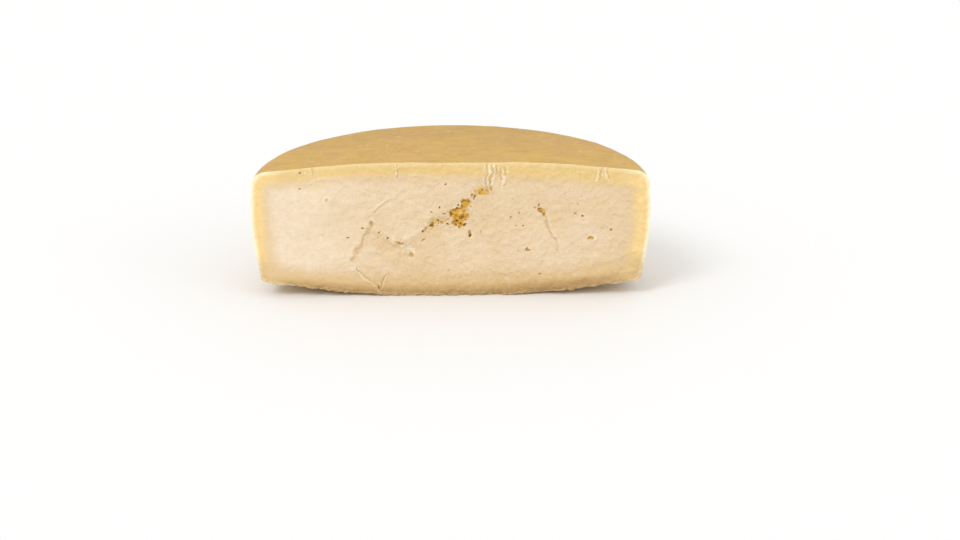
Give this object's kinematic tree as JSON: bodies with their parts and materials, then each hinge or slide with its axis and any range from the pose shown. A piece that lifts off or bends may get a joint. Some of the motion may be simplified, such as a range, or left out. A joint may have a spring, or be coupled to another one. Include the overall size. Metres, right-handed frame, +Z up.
{
  "type": "half cheese wheel",
  "caption": "Half a wheel of firm pressed cheese with a domed golden rind and a flat cut face, for standing on a board, shelf or counter.",
  "frame": {"origin": "middle of the footprint's box on the resting plane, half the half wheel's depth behind its cut face", "axes": "+Z up, +Y from the cut face towards the round back, +X along the cut; the wheel's own axis is upright in the cut face at x = 0"},
  "size_m": [0.36, 0.18, 0.126],
  "materials": {
    "cheese": "waxy cream paste with a faint grain, darkening through a yellow band to a dry golden tan rind"
  },
  "bodies": {
    "root": {"half_wheel": "cheese"}
  },
  "joints": []
}
